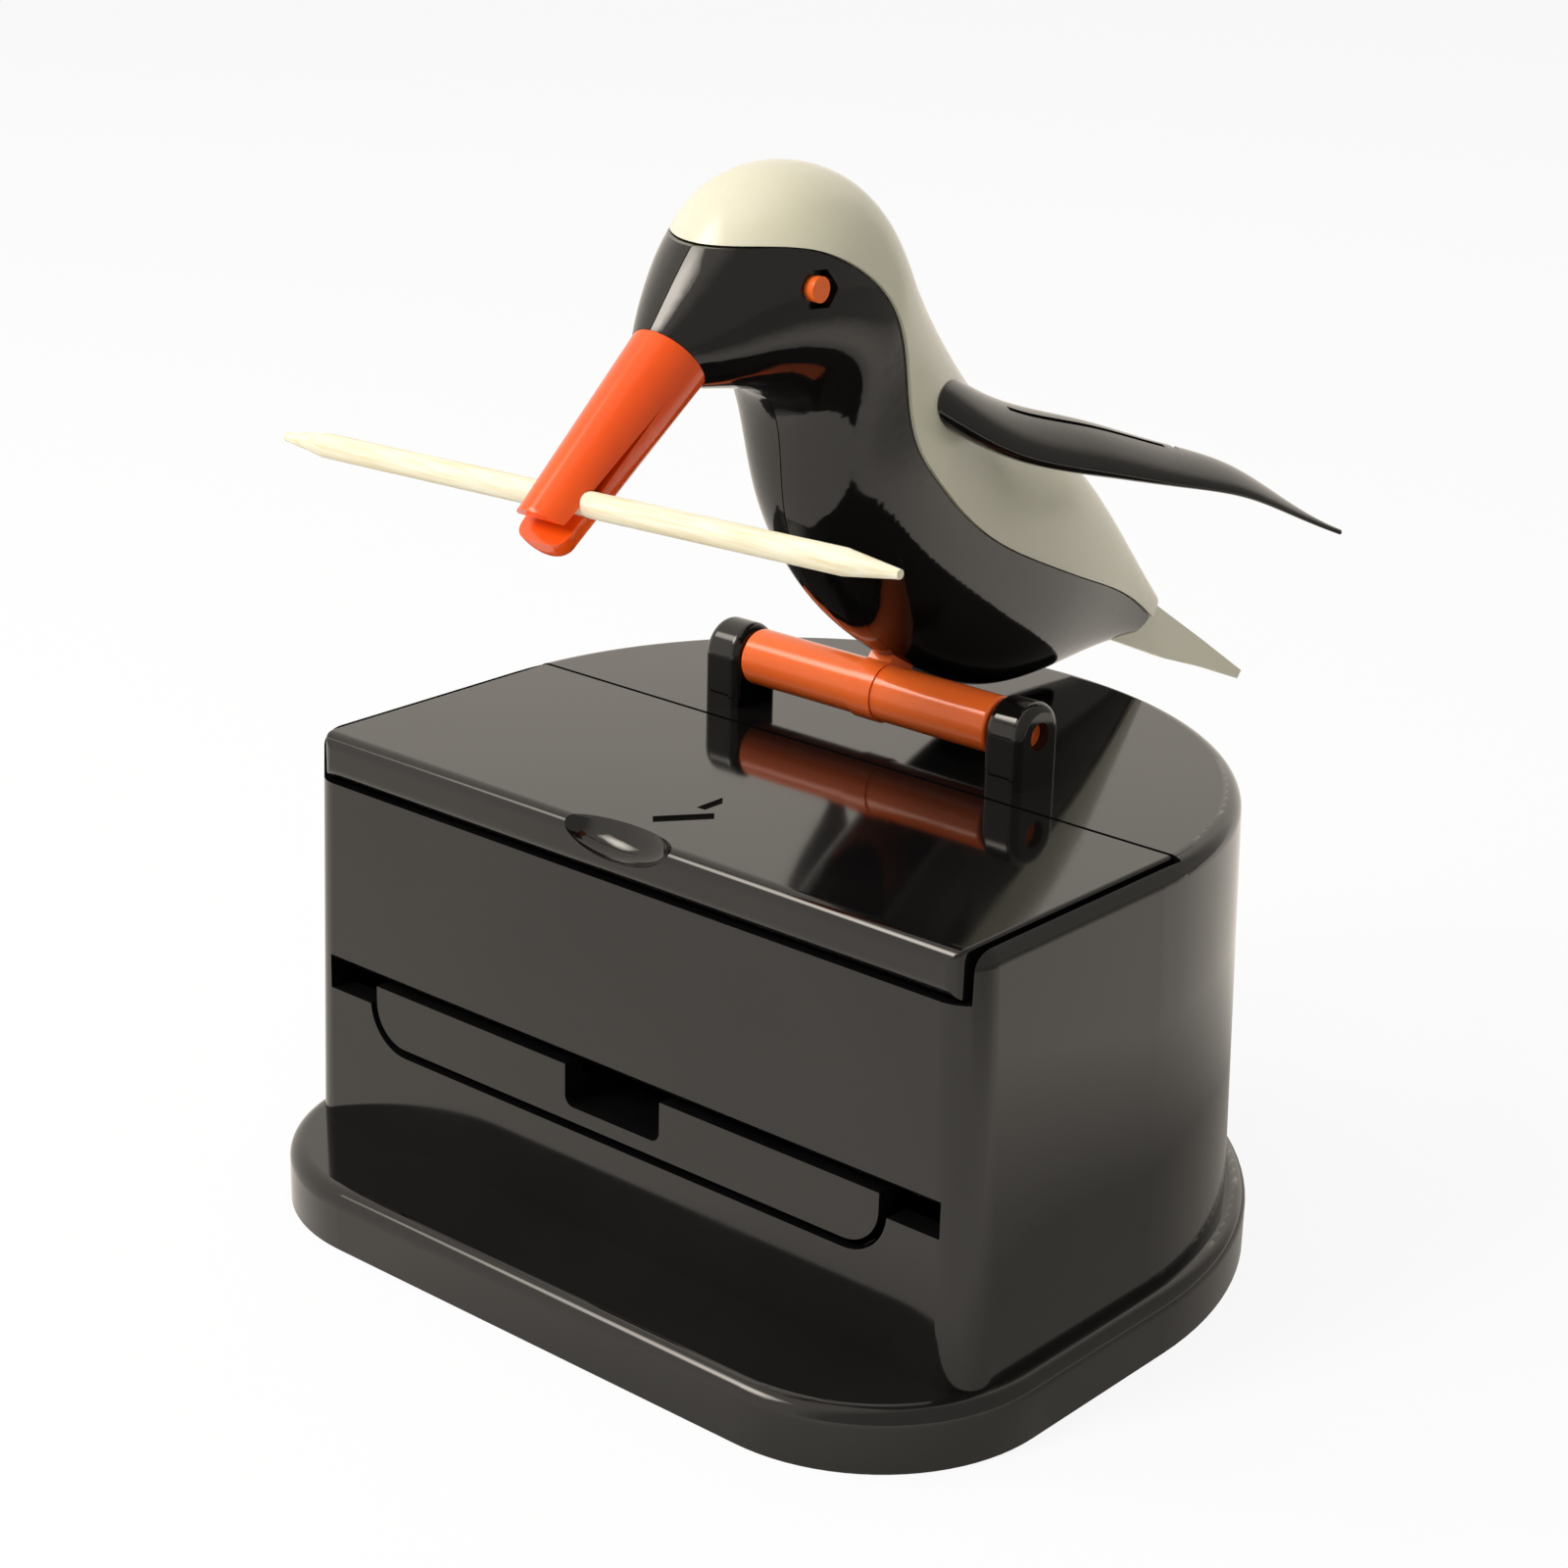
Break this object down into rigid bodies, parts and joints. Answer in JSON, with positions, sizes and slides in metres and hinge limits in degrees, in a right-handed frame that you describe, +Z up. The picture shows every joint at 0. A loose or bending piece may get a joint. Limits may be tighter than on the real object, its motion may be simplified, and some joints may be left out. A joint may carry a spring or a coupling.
{
  "type": "toothpick dispenser",
  "caption": "Tabletop toothpick dispenser: a bird on a tilting perch bows over a D-shaped box and lifts a toothpick from its front tray with its beak.",
  "frame": {"origin": "middle of the plinth's flat underside, on the table, below the centre plane and 26 mm behind the front face of the box", "axes": "+X to the right seen from the front, -Y towards the user (beak and outlet side), +Z up"},
  "size_m": [0.0766, 0.0976, 0.0908],
  "materials": {
    "black_plastic": "glossy injection-moulded black",
    "cream_plastic": "glossy cream",
    "beak_plastic": "satin orange-red",
    "bar_plastic": "glossy orange",
    "screw_steel": "zinc-plated",
    "birch_wood": "bare pale birch"
  },
  "bodies": {
    "box": {"housing": "black_plastic", "plinth": "black_plastic", "hopper_chute": "black_plastic", "post_left": "black_plastic", "post_right": "black_plastic", "post_screws": "screw_steel", "base_screws": "screw_steel", "return_spring": "screw_steel"},
    "lid": {"lid": "black_plastic"},
    "tray": {"outlet_tray": "black_plastic"},
    "bird": {"perch_bar": "bar_plastic", "bird_front_left": "black_plastic", "bird_front_right": "black_plastic", "bird_back": "cream_plastic", "wing_left": "black_plastic", "wing_right": "black_plastic", "beak": "beak_plastic", "eye_pegs": "bar_plastic"},
    "toothpick": {"toothpick": "birch_wood"}
  },
  "joints": [
    {"name": "bird_tilt", "type": "hinge", "parent": "box", "child": "bird", "pos_m": [0, 0.006, 0.04495], "axis": [1, 0, 0], "range_deg": [0, 64.5]},
    {"name": "tray_slide", "type": "slide", "parent": "box", "child": "tray", "axis": [0, -1, 0], "range_m": [0, 0.006]},
    {"name": "lid_slide", "type": "slide", "parent": "box", "child": "lid", "axis": [0, -1, 0], "range_m": [0, 0.003]},
    {"name": "toothpick_draw", "type": "slide", "parent": "bird", "child": "toothpick", "axis": [-0.9985, 0.0366, -0.0401], "range_m": [0, 0.045]}
  ],
  "couplings": [
    {"joint": "tray_slide", "follows": "bird_tilt", "m_per_rad": 0.005329}
  ]
}
